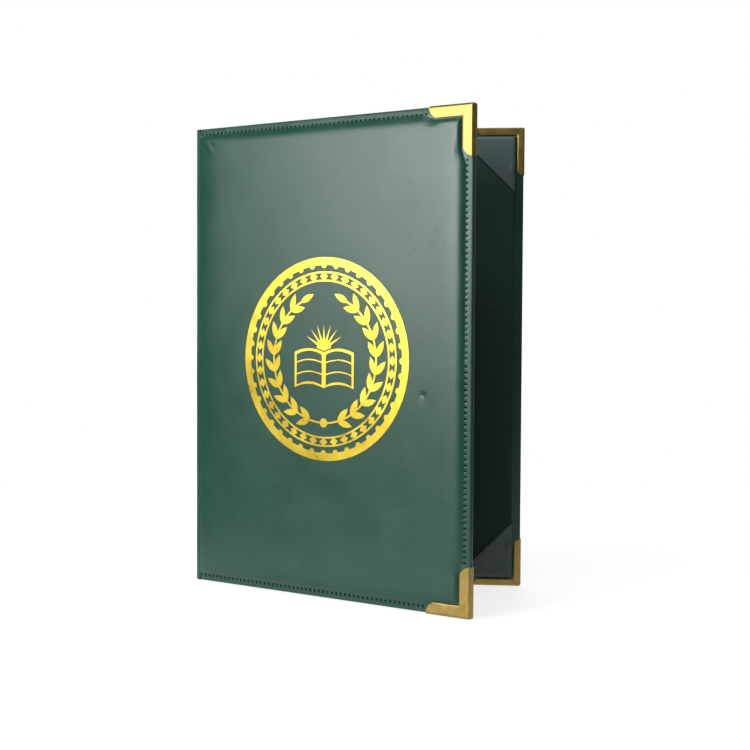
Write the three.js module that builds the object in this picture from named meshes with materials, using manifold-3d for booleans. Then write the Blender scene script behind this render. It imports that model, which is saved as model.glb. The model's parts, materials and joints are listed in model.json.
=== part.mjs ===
// Padded diploma cover for an A4 sheet, standing ajar on its lower edges.
// Two greyboards padded with foam are wrapped in one sheet of leatherette, which bends at a soft spine.
// Brass corners clamp the four outer corners, and four triangular pockets inside hold the diploma.
// Millimetres, +Z up. The spine is at -X, the mouth at +X and the front cover at -Y.
import * as THREE from "three";
import { mergeVertices } from "three/addons/utils/BufferGeometryUtils.js";
import Module from "manifold-3d";

// Cover: width runs from the fold line to the outer edge
const coverWidth = 220;
const coverHeight = 310;
const edgeArris = 1.5; // rounding where the leatherette turns over the board
const planCorner = 2; // corner radius of the wrapped board, seen from the front

// Layers
const leather = 0.7;
const board = 2;
const lining = 0.8;
const glue = 0.05; // gap between layers that are glued together
const seam = 0.3; // gap between sheets that butt edge to edge

// Spine and folds
const closedGap = 4; // between the covers' inner faces when shut
const boardSetback = 2.5; // fold line to the board's edge
const foldGap = 0.3; // between the spine's round edge and the cover's leatherette
const hem = 3; // leatherette folded back at the head and tail of the spine
const restOpening = 14.5; // degrees that each fold stands open

// Padding
const padRise = 2.5; // how far the padded face stands above the stitched margin
const stitchedMargin = 5; // flat margin along the three outer edges
const shoulder = 6; // width of the padding's rounded shoulder there
const spineShoulder = 12; // and along the spine
const padSpineOffset = 1.5; // board's edge to the foot of the padding
const padSpineCorner = 14; // corner radii of the padding
const padOuterCorner = 2;

// Inside
const turnIn = 15; // leatherette turned over onto the inner face
const innerFlap = 12; // inner strip glued onto the board
const liningInset = 6; // lining's edge to the cover's edge
const liningSpineInset = 3; // lining's edge to the board's edge at the spine

// Brass corners
const brass = 0.5;
const cornerLeg = 32;
const cornerOuterWidth = 8; // leg width on the outer face
const cornerInnerWidth = 5.5; // leg width on the inner face
const cornerRound = 1.5; // corner radius seen from the front
const cornerBevel = 0.35;
const cornerRelief = 1; // the padding's foot keeps this far from a brass leg

// Corner pockets
const pocketLeg = 37;
const pocketSheet = 0.4;
const paperGap = 0.3; // slot between pocket and lining
const pocketTurnIn = 8; // pocket material glued behind the lining

// Gold foil seal, from its edge inward
const sealRadius = 65.5;
const foil = 0.15;
const sealGap = 1.9; // bare leatherette between one part of the seal and the next
const sealBand = 5; // width of the outer band
const scallops = 40;
const scallopRadius = 2.1;
const chainWidth = 6.5; // ring of lozenges between two thin lines
const chainLine = 1.2;
const lozenges = 40;
const lozengeLength = 6.4;
const wreathStem = 1.2;
const wreathGap = 26; // degrees left open either side of the top
const knotRadius = 3; // where the two stems meet at the foot
const leafPairs = 9;
const leafLength = 12;
const leafWidth = 4.4;
const leafWidestShare = 0.45; // share of a leaf's length, from its foot
const leafSplay = 30; // degrees that a leaf leans off the stem
const bookSpreadShare = 0.74; // shares of the room inside the wreath: the book's half width
const bookHeightShare = 0.72;
const bookDropShare = 0.22; // middle of the book below the seal's centre
const bookSag = 5; // how far a page's edge curves
const bookLine = 1.6;
const sunRadiusShare = 0.18;
const sunRiseShare = 0.07; // its centre above the book's fold
const sunReachShare = 0.5; // its centre to the tips of its rays
const sunRays = 7;
const rayFan = 60; // degrees that the outermost rays lean off the upright
const rayWidth = 2.6;

// Levels through a cover, counted outward from the inner face of the turned-in leatherette
const boardLow = leather + glue;
const boardHigh = boardLow + board;
const skinLow = boardHigh + glue;
const edgeThickness = skinLow + leather;
const padHigh = edgeThickness + padRise;
const foldLevel = skinLow; // the fold line lies between the outer sheet and the inner strip
const foldLow = foldLevel - leather;
const spineWidth = 2 * foldLevel + closedGap; // fold line to fold line
const brassStand = glue + brass; // how far a brass corner stands proud of the leatherette
const skinStart = leather + foldGap;
const halfHeight = coverHeight / 2;
const halfSpine = spineWidth / 2;

// Radii of the seal's parts
const chainRadius = sealRadius - sealBand - scallopRadius - sealGap;
const leafReach = leafLength * Math.sin(THREE.MathUtils.degToRad(leafSplay)) + leafWidth / 4;
const wreathRadius = chainRadius - chainWidth - sealGap - leafReach;
const emblemRadius = wreathRadius - leafReach - sealGap;
const bookHalfWidth = bookSpreadShare * emblemRadius;
const bookHeight = bookHeightShare * emblemRadius;

const wasm = await Module();
wasm.setup();

// A closed geometry as a solid that can be joined and cut.
function solid(geometry) {
  const loose = geometry.index ? geometry.toNonIndexed() : geometry;
  const bare = new THREE.BufferGeometry();
  bare.setAttribute("position", loose.getAttribute("position"));
  const merged = mergeVertices(bare, 1e-4);
  return new wasm.Manifold(
    new wasm.Mesh({
      numProp: 3,
      vertProperties: merged.attributes.position.array,
      triVerts: new Uint32Array(merged.index.array),
    }),
  );
}

// A named mesh from a solid.
function piece(name, made, material) {
  const { vertProperties, triVerts } = made.getMesh();
  const geometry = new THREE.BufferGeometry();
  geometry.setAttribute("position", new THREE.BufferAttribute(vertProperties, 3));
  geometry.setIndex(new THREE.BufferAttribute(triVerts, 1));
  geometry.computeVertexNormals();
  const mesh = new THREE.Mesh(geometry, material);
  mesh.name = name;
  return mesh;
}

// A box given by its limits along x, y and z.
function block([x0, x1], [y0, y1], [z0, z1]) {
  const geometry = new THREE.BoxGeometry(x1 - x0, y1 - y0, z1 - z0);
  return solid(geometry.translate((x0 + x1) / 2, (y0 + y1) / 2, (z0 + z1) / 2));
}

// A solid through outlines of as many points each, [x, z] pairs at rising levels of y.
function loft(layers) {
  const count = layers[0].outline.length;
  const points = layers.flatMap(({ level, outline }) => outline.map(([x, z]) => [x, level, z]));
  const flat = layers[0].outline.map(([x, z]) => new THREE.Vector2(x, z));
  const lid = THREE.ShapeUtils.triangulateShape(flat, []);
  const faces = [];
  for (const [a, b, c] of lid) {
    const last = (layers.length - 1) * count;
    faces.push(a, b, c, last + a, last + c, last + b);
  }
  for (let layer = 0; layer < layers.length - 1; layer++) {
    for (let i = 0; i < count; i++) {
      const here = layer * count + i;
      const next = layer * count + ((i + 1) % count);
      faces.push(here, here + count, next, next, here + count, next + count);
    }
  }
  const geometry = new THREE.BufferGeometry();
  geometry.setAttribute("position", new THREE.Float32BufferAttribute(points.flat(), 3));
  geometry.setIndex(faces);
  return solid(geometry);
}

// Points of an arc in the xz plane, from one angle to another, in degrees.
function arc(x, z, radius, from, to, steps) {
  return Array.from({ length: steps + 1 }, (_, i) => {
    const angle = THREE.MathUtils.degToRad(from + ((to - from) * i) / steps);
    return [x + radius * Math.cos(angle), z + radius * Math.sin(angle)];
  });
}

// The top half of an outline, from the spine to the outer edge, mirrored to make the whole.
function mirrored(topHalf) {
  return [...topHalf, ...topHalf.map(([x, z]) => [x, -z]).reverse()].reverse();
}

// Outline of the wrapped board, drawn in by an inset on its three outer edges.
function coverOutline(inset) {
  const right = coverWidth - inset;
  const top = halfHeight - inset;
  const radius = planCorner;
  return mirrored([[skinStart, top], ...arc(right - radius, top - radius, radius, 90, 0, 4)]);
}

// How far the padding's foot keeps from the edge, at a distance along it from an outer corner.
function padMargin(fromCorner) {
  const wide = cornerOuterWidth - brassStand + cornerRelief;
  const eased = THREE.MathUtils.smoothstep(fromCorner, cornerLeg - shoulder, cornerLeg + shoulder);
  return THREE.MathUtils.lerp(wide, stitchedMargin, eased);
}

// Outline of the padding, drawn in from its foot. It steps back around the brass corners.
function padOutline(inset) {
  const left = boardSetback + padSpineOffset + (inset * spineShoulder) / shoulder;
  const easeSteps = 4;
  const along = Array.from(
    { length: easeSteps + 1 },
    (_, i) => cornerLeg - shoulder + (2 * shoulder * i) / easeSteps,
  );
  const corner = padMargin(0) + inset + padOuterCorner;
  const top = halfHeight - stitchedMargin - inset;
  return mirrored([
    ...arc(left + padSpineCorner, top - padSpineCorner, padSpineCorner, 180, 90, 5),
    ...along.toReversed().map((s) => [coverWidth - s, halfHeight - padMargin(s) - inset]),
    ...arc(coverWidth - corner, halfHeight - corner, padOuterCorner, 90, 0, 3),
    ...along.map((s) => [coverWidth - padMargin(s) - inset, halfHeight - s]),
  ]);
}

// The padding's form from a low level up to its flat face, with a rounded shoulder.
function padForm(low, high, drawnIn) {
  const steps = 5;
  const foot = high - padRise;
  const layers = [{ level: low, outline: padOutline(drawnIn) }];
  for (let i = 0; i <= steps; i++) {
    const level = foot + padRise * Math.sin((Math.PI / 2) * (i / steps));
    if (level > low) {
      layers.push({ level, outline: padOutline(drawnIn + (shoulder * i) / steps) });
    }
  }
  return loft(layers);
}

// Leatherette of one cover: the padded outer face, the turned edges and the frame of turn-ins.
function coverLeather() {
  const steps = 3;
  const layers = [];
  for (let i = 0; i <= steps; i++) {
    const angle = (Math.PI / 2) * (i / steps);
    const inset = edgeArris * (1 - Math.sin(angle));
    layers.push({ level: edgeArris * (1 - Math.cos(angle)), outline: coverOutline(inset) });
  }
  for (let i = 0; i <= steps; i++) {
    const angle = (Math.PI / 2) * (i / steps);
    const level = edgeThickness - edgeArris * (1 - Math.sin(angle));
    layers.push({ level, outline: coverOutline(edgeArris * (1 - Math.cos(angle))) });
  }
  const boardEnd = coverWidth - leather;
  const boardTop = halfHeight - leather;
  const frameTop = halfHeight - turnIn;
  const hemTop = halfHeight - hem;
  const past = 1; // cuts run this far past what they cut
  const cutStart = skinStart - past;
  const boardStart = boardSetback - glue;
  return loft(layers)
    .add(padForm(edgeThickness - leather / 2, padHigh, 0))
    .subtract(block([boardStart, boardEnd], [leather, skinLow], [-boardTop, boardTop]))
    .subtract(padForm(skinLow - leather / 2, padHigh - leather, leather))
    .subtract(block([cutStart, coverWidth - turnIn], [-past, leather + glue], [-frameTop, frameTop]))
    .subtract(block([cutStart, boardStart], [-past, foldLow], [-halfHeight - past, halfHeight + past]))
    .subtract(block([cutStart, boardStart], [-past, skinLow], [-hemTop, hemTop]));
}

// Inner strip of the spine where it is glued to a cover: across the fold, down the board and along it.
function coverInnerStrip() {
  const stripTop = halfHeight - hem - seam;
  const flapTop = halfHeight - turnIn - seam;
  const wallEnd = boardSetback - 2 * glue;
  const wallStart = wallEnd - leather;
  const level = [foldLow, skinLow - glue];
  return block([skinStart, wallEnd], level, [-stripTop, stripTop])
    .add(block([wallStart, wallEnd], [0, level[1]], [-stripTop, stripTop]))
    .add(block([wallStart, boardSetback + innerFlap], [0, leather], [-flapTop, flapTop]));
}

// Greyboard of one cover.
function coverBoard() {
  const end = coverWidth - leather - glue;
  const top = halfHeight - leather - glue;
  return block([boardSetback, end], [boardLow, boardHigh], [-top, top]);
}

// Foam glued to the board's outer face.
function coverFoam() {
  return padForm(skinLow, padHigh - leather - glue, leather + glue);
}

// Lining panel over the turn-ins, with its back this far off them.
function liningPanel(standOff) {
  const start = boardSetback + liningSpineInset;
  const end = coverWidth - liningInset;
  const top = halfHeight - liningInset;
  return block([start, end], [-standOff - lining, -standOff], [-top, top]);
}

// An outline of straight lines and arcs as a solid between two levels of y.
function plate(shape, low, high) {
  const geometry = new THREE.ExtrudeGeometry(shape, {
    depth: high - low,
    bevelEnabled: false,
    curveSegments: 6,
  });
  return solid(geometry.rotateX(Math.PI / 2).translate(0, high, 0));
}

// An L of two legs that meet at the point (reach, reach), with quarter-round ends.
function angleShape(reach, leg, width) {
  const shape = new THREE.Shape();
  const end = reach - leg;
  shape.moveTo(reach, reach);
  shape.lineTo(end, reach);
  shape.absarc(end + width, reach, width, Math.PI, 1.5 * Math.PI, false);
  shape.lineTo(reach - width, reach - width);
  shape.lineTo(reach - width, end + width);
  shape.absarc(reach, end + width, width, Math.PI, 1.5 * Math.PI, false);
  return shape;
}

// A square whose corner at (reach, reach) is rounded.
function roundedSquare(reach, side, radius) {
  const shape = new THREE.Shape();
  shape.moveTo(reach - side, reach - side);
  shape.lineTo(reach, reach - side);
  shape.lineTo(reach, reach - radius);
  shape.absarc(reach - radius, reach - radius, radius, 0, Math.PI / 2, false);
  shape.lineTo(reach - side, reach);
  return shape;
}

// Brass corner: sheet folded round the cover's edge, with an L on the outer and on the inner face.
// Its origin is the cover's corner, and its legs run along -x and -z.
function brassCorner() {
  const low = -brassStand;
  const high = edgeThickness + brassStand;
  const envelope = new THREE.ExtrudeGeometry(roundedSquare(brassStand, cornerLeg, cornerRound), {
    depth: high - low - 2 * cornerBevel,
    bevelThickness: cornerBevel,
    bevelSize: cornerBevel,
    bevelOffset: -cornerBevel,
    bevelSegments: 2,
    curveSegments: 6,
  });
  envelope.rotateX(Math.PI / 2).translate(0, high - cornerBevel, 0);
  const outerFace = plate(angleShape(brassStand, cornerLeg, cornerOuterWidth), edgeThickness, high);
  const innerFace = plate(angleShape(brassStand, cornerLeg, cornerInnerWidth), low, 0);
  const edge = plate(angleShape(brassStand, cornerLeg, brass), low, high);
  const inside = plate(
    roundedSquare(glue, 2 * cornerLeg, cornerRound - brass),
    -glue,
    edgeThickness + glue,
  );
  return solid(envelope).intersect(outerFace.add(innerFace).add(edge)).subtract(inside);
}

// Triangular pocket: a sheet across the lining's corner, turned round its two edges and glued behind.
// Its origin is the lining's corner on its glued face, and its legs run along -x and -z.
function cornerPocket() {
  const reach = glue + pocketSheet;
  const triangle = new THREE.Shape();
  triangle.moveTo(reach, reach);
  triangle.lineTo(reach - pocketLeg, reach);
  triangle.lineTo(reach, reach - pocketLeg);
  const front = -(lining + paperGap + pocketSheet);
  const past = 2 * pocketLeg; // cuts run this far past what they cut
  const hollow = block([-past, glue], [front + pocketSheet, glue], [-past, glue]);
  const behind = block([-past, -pocketTurnIn], [0, past], [-past, -pocketTurnIn]);
  return plate(triangle, front, reach).subtract(hollow).subtract(behind);
}

// Flat gold shapes, drawn upright in xy and as thick as the foil.
function foilPlate(shape, curveSegments) {
  return solid(new THREE.ExtrudeGeometry(shape, { depth: foil, bevelEnabled: false, curveSegments }));
}

// A ring between two radii.
function ring(outer, inner, curveSegments) {
  const shape = new THREE.Shape().absarc(0, 0, outer, 0, 2 * Math.PI, false);
  shape.holes.push(new THREE.Path().absarc(0, 0, inner, 0, 2 * Math.PI, true));
  return foilPlate(shape, curveSegments);
}

// Outer band of the seal, with a scalloped inner edge.
function sealBorder() {
  const edge = sealRadius - sealBand;
  let made = ring(sealRadius, edge, 36);
  for (let i = 0; i < scallops; i++) {
    const angle = (2 * Math.PI * i) / scallops;
    const bead = new THREE.Shape().absarc(
      edge * Math.cos(angle),
      edge * Math.sin(angle),
      scallopRadius,
      0,
      2 * Math.PI,
      false,
    );
    made = made.add(foilPlate(bead, 4));
  }
  return made;
}

// Chain of lozenges between two thin rings.
function sealRing() {
  const middle = chainRadius - chainWidth / 2;
  const halfDepth = (chainWidth - chainLine) / 2;
  const lozenge = new THREE.Shape();
  lozenge.moveTo(middle - halfDepth, 0);
  lozenge.lineTo(middle, -lozengeLength / 2);
  lozenge.lineTo(middle + halfDepth, 0);
  lozenge.lineTo(middle, lozengeLength / 2);
  const link = foilPlate(lozenge, 1);
  const innerLine = chainRadius - chainWidth;
  let made = ring(chainRadius, chainRadius - chainLine, 32).add(
    ring(innerLine + chainLine, innerLine, 32),
  );
  for (let i = 0; i < lozenges; i++) {
    made = made.add(link.rotate([0, 0, (360 * i) / lozenges]));
  }
  return made;
}

// A pointed leaf along +x, with its foot at the origin.
function leaf() {
  const shape = new THREE.Shape();
  shape.moveTo(0, 0);
  shape.quadraticCurveTo(leafLength * leafWidestShare, -leafWidth, leafLength, 0);
  shape.quadraticCurveTo(leafLength * leafWidestShare, leafWidth, 0, 0);
  return foilPlate(shape, 4);
}

// Laurel wreath: two stems that rise from a knot at the foot, with leaves on both sides.
function sealWreath() {
  const { degToRad } = THREE.MathUtils;
  const start = degToRad(-90);
  const end = degToRad(90 - wreathGap);
  const stem = new THREE.Shape();
  stem.absarc(0, 0, wreathRadius + wreathStem / 2, start, end, false);
  stem.absarc(0, 0, wreathRadius - wreathStem / 2, end, start, true);
  let branch = foilPlate(stem, 24);
  const addLeaf = (angle, splay) => {
    const foot = [wreathRadius * Math.cos(angle), wreathRadius * Math.sin(angle), 0];
    const heading = THREE.MathUtils.radToDeg(angle) + 90 + splay;
    branch = branch.add(leaf().rotate([0, 0, heading]).translate(foot));
  };
  for (let i = 1; i <= leafPairs; i++) {
    const angle = start + ((end - start) * i) / (leafPairs + 1);
    addLeaf(angle, -leafSplay);
    addLeaf(angle, leafSplay);
  }
  addLeaf(end - wreathStem / wreathRadius, 0);
  const knot = new THREE.Shape().absarc(0, -wreathRadius, knotRadius, 0, 2 * Math.PI, false);
  return branch.add(branch.mirror([1, 0, 0])).add(foilPlate(knot, 8));
}

// One page of the book in the wreath, drawn in by an inset, or grown by a negative one on all
// sides but the fold.
function pageShape(inset) {
  const shape = new THREE.Shape();
  const inner = Math.max(inset, 0);
  const outer = bookHalfWidth - inset;
  const low = -bookHeight / 2 + inset;
  const high = bookHeight / 2 - inset;
  shape.moveTo(inner, low);
  shape.quadraticCurveTo(outer / 2, low + bookSag, outer, low);
  shape.lineTo(outer, high);
  shape.quadraticCurveTo(outer / 2, high + bookSag, inner, high);
  return shape;
}

// Open book in outline, with two ruled lines across each page.
function sealBook() {
  const page = foilPlate(pageShape(0), 8);
  const opening = foilPlate(pageShape(bookLine), 8);
  let half = page.subtract(opening);
  for (const share of [1 / 3, 2 / 3]) {
    const y = -bookHeight / 2 + bookHeight * share;
    const line = new THREE.Shape();
    line.moveTo(0, y);
    line.quadraticCurveTo(bookHalfWidth / 2, y + bookSag, bookHalfWidth - bookLine / 2, y);
    line.lineTo(bookHalfWidth - bookLine / 2, y + bookLine / 2);
    line.quadraticCurveTo(bookHalfWidth / 2, y + bookSag + bookLine / 2, 0, y + bookLine / 2);
    half = half.add(foilPlate(line, 8));
  }
  return half.add(half.mirror([1, 0, 0])).translate([0, -bookDropShare * emblemRadius, 0]);
}

// Sun that rises behind the open book, with pointed rays.
function sealSun() {
  const radius = sunRadiusShare * emblemRadius;
  const ray = new THREE.Shape();
  ray.moveTo(rayWidth / 2, 0);
  ray.lineTo(0, sunReachShare * emblemRadius);
  ray.lineTo(-rayWidth / 2, 0);
  const pointed = foilPlate(ray, 1);
  let made = foilPlate(new THREE.Shape().absarc(0, 0, radius, 0, 2 * Math.PI, false), 12);
  for (let i = 0; i < sunRays; i++) {
    made = made.add(pointed.rotate([0, 0, rayFan * ((2 * i) / (sunRays - 1) - 1)]));
  }
  // the pages, thick enough to cut through the foil, with a gap round them
  const page = foilPlate(pageShape(-sealGap / 2), 8);
  const pages = page.add(page.mirror([1, 0, 0])).scale([1, 1, 3]).translate([0, 0, -foil]);
  return made
    .translate([0, bookHeight / 2 + sunRiseShare * emblemRadius, 0])
    .subtract(pages)
    .translate([0, -bookDropShare * emblemRadius, 0]);
}

// Materials
const leatherette = new THREE.MeshStandardMaterial({ color: 0x3a6352, roughness: 0.45 });
const liningPaper = new THREE.MeshStandardMaterial({ color: 0x1d2e29, roughness: 0.8 });
const pocketSatin = new THREE.MeshStandardMaterial({ color: 0x33403d, roughness: 0.5 });
const greyboard = new THREE.MeshStandardMaterial({ color: 0x8c857a, roughness: 0.9 });
const foam = new THREE.MeshStandardMaterial({ color: 0xd9d6cc, roughness: 0.95 });
const polishedBrass = new THREE.MeshStandardMaterial({ color: 0xc8a75a, roughness: 0.3, metalness: 1 });
const goldFoil = new THREE.MeshStandardMaterial({ color: 0xe6c83c, roughness: 0.35, metalness: 0.8 });

// The pieces that both covers have, in the cover's own frame: x from the fold to the outer edge,
// y outward from the fold line and z up from mid-height. The upper side's names come first.
function coverPieces(side, liningStandOff, [upper, lower]) {
  const body = new THREE.Group();
  body.position.y = -foldLevel;
  body.add(
    piece(`${side}_leatherette`, coverLeather(), leatherette),
    piece(`${side}_inner_strip`, coverInnerStrip(), leatherette),
    piece(`${side}_board`, coverBoard(), greyboard),
    piece(`${side}_foam`, coverFoam(), foam),
    piece(`${side}_lining`, liningPanel(liningStandOff), liningPaper),
  );
  const atUpper = piece(`${side}_corner_${upper}`, brassCorner(), polishedBrass);
  atUpper.position.set(coverWidth, 0, halfHeight);
  const atLower = piece(`${side}_corner_${lower}`, brassCorner(), polishedBrass);
  atLower.position.set(coverWidth, 0, -halfHeight);
  atLower.rotation.y = Math.PI / 2;
  body.add(atUpper, atLower);
  return body;
}

// Back cover, with the pockets at its lining's four corners
function backCover() {
  const standOff = pocketSheet + 2 * glue;
  const body = coverPieces("back", standOff, ["top", "bottom"]);
  const outer = coverWidth - liningInset;
  const inner = boardSetback + liningSpineInset;
  const top = halfHeight - liningInset;
  const corners = [
    ["outer_top", outer, top, 0],
    ["outer_bottom", outer, -top, Math.PI / 2],
    ["spine_bottom", inner, -top, Math.PI],
    ["spine_top", inner, top, -Math.PI / 2],
  ];
  for (const [where, x, z, turn] of corners) {
    const pocket = piece(`pocket_${where}`, cornerPocket(), pocketSatin);
    pocket.position.set(x, -standOff, z);
    pocket.rotation.y = turn;
    body.add(pocket);
  }
  const cover = new THREE.Group();
  cover.add(body);
  return cover;
}

// Front cover: the same cover turned over, with the seal stamped at the middle of its outer face
function frontCover() {
  const turned = new THREE.Group();
  turned.add(coverPieces("front", glue, ["bottom", "top"]));
  turned.rotation.x = Math.PI;
  const seal = new THREE.Group();
  seal.rotation.x = Math.PI / 2;
  seal.position.set((boardSetback + coverWidth) / 2, foldLevel - padHigh - glue, 0);
  seal.add(
    piece("seal_border", sealBorder(), goldFoil),
    piece("seal_ring", sealRing(), goldFoil),
    piece("seal_wreath", sealWreath(), goldFoil),
    piece("seal_book", sealBook(), goldFoil),
    piece("seal_sun", sealSun(), goldFoil),
  );
  const cover = new THREE.Group();
  cover.add(turned, seal);
  return cover;
}

// Spine: the outer sheet with its hems, and the inner strip glued to it
function spine() {
  const section = new THREE.Shape();
  section.absarc(0, -halfSpine, leather, Math.PI, 2 * Math.PI, false);
  section.absarc(0, halfSpine, leather, 0, Math.PI, false);
  const geometry = new THREE.ExtrudeGeometry(section, {
    depth: coverHeight,
    bevelEnabled: false,
    curveSegments: 8,
  });
  const both = solid(geometry.translate(0, 0, -halfHeight));
  const hemTop = halfHeight - hem;
  const stripTop = hemTop - seam;
  const past = spineWidth;
  const behind = block([-glue / 2, past], [-past, past], [-hemTop, hemTop]);
  const inner = block([glue / 2, past], [-past, past], [-stripTop, stripTop]);
  const strip = new THREE.Group();
  strip.add(
    piece("spine_leatherette", both.subtract(behind), leatherette),
    piece("spine_inner_strip", both.intersect(inner), leatherette),
  );
  return strip;
}

// The cover stands ajar, with each fold open by the same angle
const diplomaCover = new THREE.Group();
const back = backCover();
back.position.y = halfSpine;
back.rotation.z = THREE.MathUtils.degToRad(restOpening);
const front = frontCover();
front.position.y = -halfSpine;
front.rotation.z = -THREE.MathUtils.degToRad(restOpening);
diplomaCover.add(back, front, spine());

// The origin is under the middle of the whole, on the surface that it stands on
const reach = new THREE.Box3().setFromObject(diplomaCover, true);
diplomaCover.position.x = -(reach.min.x + reach.max.x) / 2;
diplomaCover.position.z = -reach.min.z;

export default diplomaCover;
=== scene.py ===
import json
import math

import bmesh
import bpy
import numpy as np
from mathutils import Matrix, geometry


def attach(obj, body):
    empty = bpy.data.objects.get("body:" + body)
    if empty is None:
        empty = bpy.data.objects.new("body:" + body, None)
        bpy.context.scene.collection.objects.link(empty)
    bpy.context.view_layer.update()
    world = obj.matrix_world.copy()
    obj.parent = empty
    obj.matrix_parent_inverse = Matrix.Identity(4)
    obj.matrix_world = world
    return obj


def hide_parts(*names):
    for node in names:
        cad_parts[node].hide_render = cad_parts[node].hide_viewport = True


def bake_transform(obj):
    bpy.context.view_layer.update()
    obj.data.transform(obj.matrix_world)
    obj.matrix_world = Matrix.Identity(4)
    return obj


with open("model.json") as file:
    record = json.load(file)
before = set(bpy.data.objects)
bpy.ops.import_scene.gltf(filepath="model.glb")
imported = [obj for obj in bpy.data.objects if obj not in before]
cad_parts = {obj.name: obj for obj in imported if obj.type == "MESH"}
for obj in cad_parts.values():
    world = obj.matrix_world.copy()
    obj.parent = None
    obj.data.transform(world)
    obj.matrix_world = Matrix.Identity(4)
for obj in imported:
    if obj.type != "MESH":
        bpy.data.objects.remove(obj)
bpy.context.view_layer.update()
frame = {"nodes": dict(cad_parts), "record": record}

# The view of the photograph: a camera a little under a metre away, at the height of the cover's upper
# half, turned towards the open mouth and level to within three degrees.
CAMERA_PLACE = (0.3425, -0.8666, 0.1812)
CAMERA_YAW = math.radians(20.3)
CAMERA_PITCH = math.radians(-2.27)
CAMERA_ROLL = math.radians(0.31)
CAMERA_LENS = 67.1

camera_data = bpy.data.cameras.new("photo_camera")
camera_data.sensor_width = 36
camera_data.lens = CAMERA_LENS
camera = bpy.data.objects.new("photo_camera", camera_data)
camera.matrix_world = (
    Matrix.Translation(CAMERA_PLACE)
    @ Matrix.Rotation(CAMERA_YAW, 4, "Z")
    @ Matrix.Rotation(math.pi / 2 + CAMERA_PITCH, 4, "X")
    @ Matrix.Rotation(CAMERA_ROLL, 4, "Z")
)
bpy.context.scene.collection.objects.link(camera)
bpy.context.scene.camera = camera
bpy.context.scene.view_settings.view_transform = "Standard"


# A white table in front of a white backdrop, in a room that is dim everywhere else, so that nothing washes
# out the leatherette. The key is a softbox at the left, a little above the cover's middle, whose sheen lies
# on the front's upper right.
ROOM_LEVEL = 0.16
BACKDROP_LEVEL = 1.0
TABLE_GLOW = 0.8
LAMP_AIM = 0.155  # height of the cover's middle


def new_material(name):
    """A node material with its main shader, its nodes and its links."""
    material = bpy.data.materials.new(name)
    material.use_nodes = True
    nodes = material.node_tree.nodes
    return material, nodes["Principled BSDF"], nodes, material.node_tree.links


world = bpy.data.worlds.new("studio")
world.use_nodes = True
world_nodes, world_links = world.node_tree.nodes, world.node_tree.links
surround = world_nodes["Background"]
surround.inputs["Color"].default_value = (1, 1, 1, 1)
direction = world_nodes.new("ShaderNodeTexCoord")
to_backdrop = world_nodes.new("ShaderNodeVectorMath")
to_backdrop.operation = "DOT_PRODUCT"
to_backdrop.inputs[1].default_value = (-math.sin(CAMERA_YAW), math.cos(CAMERA_YAW), 0)
world_links.new(direction.outputs["Generated"], to_backdrop.inputs[0])
strength = world_nodes.new("ShaderNodeMapRange")
strength.interpolation_type = "SMOOTHSTEP"
strength.inputs["From Min"].default_value = 0.4
strength.inputs["From Max"].default_value = 0.9
strength.inputs["To Min"].default_value = ROOM_LEVEL
strength.inputs["To Max"].default_value = BACKDROP_LEVEL
world_links.new(to_backdrop.outputs["Value"], strength.inputs["Value"])
world_links.new(strength.outputs["Result"], surround.inputs["Strength"])
bpy.context.scene.world = world

table_material, shader, nodes, links = new_material("white_table")
shader.inputs["Base Color"].default_value = (0.3, 0.3, 0.3, 1)
shader.inputs["Roughness"].default_value = 0.9
shader.inputs["Specular IOR Level"].default_value = 0.1
shader.inputs["Emission Color"].default_value = (1, 1, 1, 1)
path = nodes.new("ShaderNodeLightPath")
camera_or_glossy = nodes.new("ShaderNodeMath")
camera_or_glossy.operation = "MAXIMUM"
links.new(path.outputs["Is Camera Ray"], camera_or_glossy.inputs[0])
links.new(path.outputs["Is Glossy Ray"], camera_or_glossy.inputs[1])
seen_directly = nodes.new("ShaderNodeMath")
seen_directly.operation = "MAXIMUM"
links.new(camera_or_glossy.outputs[0], seen_directly.inputs[0])
links.new(path.outputs["Is Transmission Ray"], seen_directly.inputs[1])
table_glow = nodes.new("ShaderNodeMath")
table_glow.operation = "MULTIPLY"
table_glow.inputs[1].default_value = TABLE_GLOW
links.new(seen_directly.outputs[0], table_glow.inputs[0])
links.new(table_glow.outputs[0], shader.inputs["Emission Strength"])

# the table widens away from the camera, and just fills its view up to the backdrop
TABLE_NEAR, TABLE_NEAR_WIDTH = 0.5, 0.38
TABLE_FAR, TABLE_FAR_WIDTH = 1.5, 0.86
table_corners = [
    (-TABLE_NEAR_WIDTH / 2, TABLE_NEAR, 0),
    (TABLE_NEAR_WIDTH / 2, TABLE_NEAR, 0),
    (TABLE_FAR_WIDTH / 2, TABLE_FAR, 0),
    (-TABLE_FAR_WIDTH / 2, TABLE_FAR, 0),
]
table_mesh = bpy.data.meshes.new("table")
table_mesh.from_pydata(table_corners, [], [(0, 1, 2, 3)])
table_mesh.materials.append(table_material)
table = bpy.data.objects.new("table", table_mesh)
table.location = (CAMERA_PLACE[0], CAMERA_PLACE[1], 0)
table.rotation_euler = (0, 0, CAMERA_YAW)
bpy.context.scene.collection.objects.link(table)


def softbox(name, compass, height_angle, distance, width, height, watts):
    """An area lamp that faces the cover's middle, from a compass angle and an angle of height."""
    lamp = bpy.data.lights.new(name, "AREA")
    lamp.shape = "RECTANGLE"
    lamp.size = width
    lamp.size_y = height
    lamp.energy = watts
    holder = bpy.data.objects.new(name, lamp)
    compass, height_angle = math.radians(compass), math.radians(height_angle)
    holder.location = (
        distance * math.cos(height_angle) * math.cos(compass),
        distance * math.cos(height_angle) * math.sin(compass),
        distance * math.sin(height_angle) + LAMP_AIM,
    )
    holder.rotation_euler = (math.pi / 2 - height_angle, 0, compass + math.pi / 2)
    holder.visible_camera = False
    bpy.context.scene.collection.objects.link(holder)


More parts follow.
